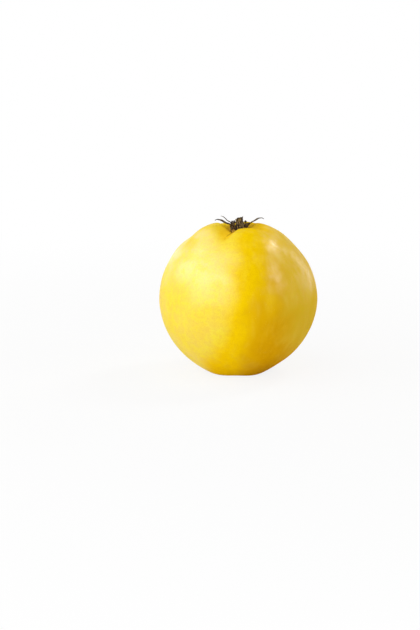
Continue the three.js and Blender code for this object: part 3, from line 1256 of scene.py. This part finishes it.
stub = {
    "radius": 2.3,
    "top": 7.2,
    "bottom": 2.2,
    "roundness": 0.8,  # 1 makes the stub egg-shaped, and less makes its ends squarer
    "rows": 110,
    "around": 180,
    # the bark's ridges: height, grain, share and grain of the finer ones
    "bark": (0.22, 0.5, 0.5, 0.2),
    "barkStretch": (3, 0.25),  # round the stub and along it
    "endStarts": (1.2, 0.2),  # above the bottom, where the broken end sets in
    "splinters": 0.9,  # how far the broken end stands up in fibres
    "splinterGrain": (0.5, 0.6, 0.22),  # grain, then share and grain of the finer ones
    "pith": (0.8, 0.6),  # depth and width of the hollow in the broken end
    "endBark": 0.6,  # share of the bark that the broken end loses
    "dark": shade(58, 40, 26),
    "brown": shade(122, 92, 60),
    "pale": shade(186, 158, 112),
    "upright": (2.4, 2.4, 0.35),
    "blotch": 1.5,
    "stripes": 0.7,
    "ridges": 0.2,
}


def stubMesh():
    polar = math.pi * np.arange(1, stub["rows"])[:, None] / stub["rows"]
    bearing = np.arange(stub["around"])[None, :] * 360 / stub["around"]
    bearing, polar = bearing + 0 * polar, polar + 0 * bearing
    distance = stub["radius"] * np.minimum(1, np.sin(polar) / stub["roundness"])
    half = (stub["top"] - stub["bottom"]) / 2
    height = stub["bottom"] + half + half * np.cos(polar)
    turn = np.radians(bearing)
    tall, grain, fineShare, fineGrain = stub["bark"]
    sideways, upward = stub["barkStretch"]
    bark = np.stack([np.cos(turn) * sideways, np.sin(turn) * sideways, height * upward], -1)
    ridges = tall * (roughness(bark, grain, 2) + fineShare * roughness(bark, fineGrain, 4))
    upper, lower = (stub["bottom"] + level for level in stub["endStarts"])
    isEnd = ease(height, upper, lower)
    grain, fineShare, fineGrain = stub["splinterGrain"]
    fibres = onRing(bearing, distance, 0)
    split = np.abs(roughness(fibres, grain, 5)) + fineShare * np.abs(roughness(fibres, fineGrain, 6))
    depth, width = stub["pith"]
    height = height + isEnd * (stub["splinters"] * split + depth * bell(distance / width))
    rings = onRing(bearing, distance + ridges * (1 - isEnd * stub["endBark"]), height)
    return roundMesh("stalkStub", rings)


place("stalkStub", stubMesh(), tissueMaterial("stalkWood", stub), "stalk_wood", "stalk_stub")
print("down and stalk made")


stage = {
    "reach": 4,  # half the width of the floor
    "floorColour": (0.88, 0.88, 0.88, 1),
    "white": (1, 1, 1, 1),
    "whiteShare": 0.86,  # how much of the floor's look is plain white near the fruit
    "fades": (0.1, 0.5),  # metres from the fruit, between which the floor turns all white
    "skyLevel": 0.2,  # how brightly the sky lights the fruit, while it is seen as plain white
}


# 1 where the floor or the sky is seen, in a mirror or through glass as well
def seenAsBackground(board):
    path = board.add("ShaderNodeLightPath").socket.node
    rays = ("Is Camera Ray", "Is Glossy Ray", "Is Transmission Ray")
    return sum(Wire(board, path.outputs[name]) for name in rays)


def plainFloor():
    reach = stage["reach"]
    corners = [(-reach, -reach, 0), (reach, -reach, 0), (reach, reach, 0), (-reach, reach, 0)]
    mesh = newMesh("floor", corners, [(0, 1, 2, 3)], smooth=False)
    floor = addObject("floor", mesh)
    board = newMaterial("paleFloor")
    x, y, _ = board.parts(board.add("ShaderNodeTexCoord", output="Object"))
    fade = board.between((x * x + y * y) ** 0.5, *stage["fades"])
    share = stage["whiteShare"] + fade * (1 - stage["whiteShare"])
    lit = board.add("ShaderNodeBsdfDiffuse", {}, {"Color": stage["floorColour"]})
    white = board.add("ShaderNodeEmission", {}, {"Color": stage["white"], "Strength": 1.0})
    factor = seenAsBackground(board) * share
    both = board.add("ShaderNodeMixShader", {}, {0: factor, 1: lit, 2: white})
    board.add("ShaderNodeOutputMaterial", {}, {"Surface": both})
    mesh.materials.append(board.owner)


def plainSky():
    world = bpy.data.worlds.new("studio")
    bpy.context.scene.world = world
    board = Board(world)
    strength = stage["skyLevel"] + seenAsBackground(board) * (1 - stage["skyLevel"])
    sky = board.add("ShaderNodeBackground", {}, {"Color": stage["white"], "Strength": strength})
    board.add("ShaderNodeOutputWorld", {}, {"Surface": sky})


lampDistance = 0.8  # metres from the middle of the fruit
lamps = {
    # direction from the fruit, width, height, strength in watts
    "scrimLeft": ((-0.48, -0.80, 0.09), 1.2, 1.2, 7.7),
    "overLeft": ((-0.30, -0.35, 0.88), 1.0, 1.0, 1.8),
    "boxLeft": ((-0.81, 0.02, 0.56), 0.6, 0.6, 1.35),
    "spotRight": ((0.52, 0.43, 0.74), 0.14, 0.22, 1.5),
    "stripBack": ((0.70, 0.69, 0.18), 0.12, 0.6, 0.9),
    "stripRight": ((0.85, -0.27, 0.44), 0.12, 0.4, 0.8),
    "fillBack": ((-0.35, 0.85, 0.40), 1.0, 1.0, 1.6),
}


def lightLamps():
    middle = fruitMiddle()
    for name, (direction, width, height, strength) in lamps.items():
        data = bpy.data.lights.new(name, "AREA")
        data.shape = "RECTANGLE"
        data.size = width
        data.size_y = height
        data.energy = strength
        lamp = addObject(name, data)
        lamp.location = middle + Vector(direction).normalized() * lampDistance
        turnTowards(lamp, middle)


plainFloor()
plainSky()
lightLamps()
bpy.context.scene.view_settings.view_transform = "Standard"
print("stage and lamps set")
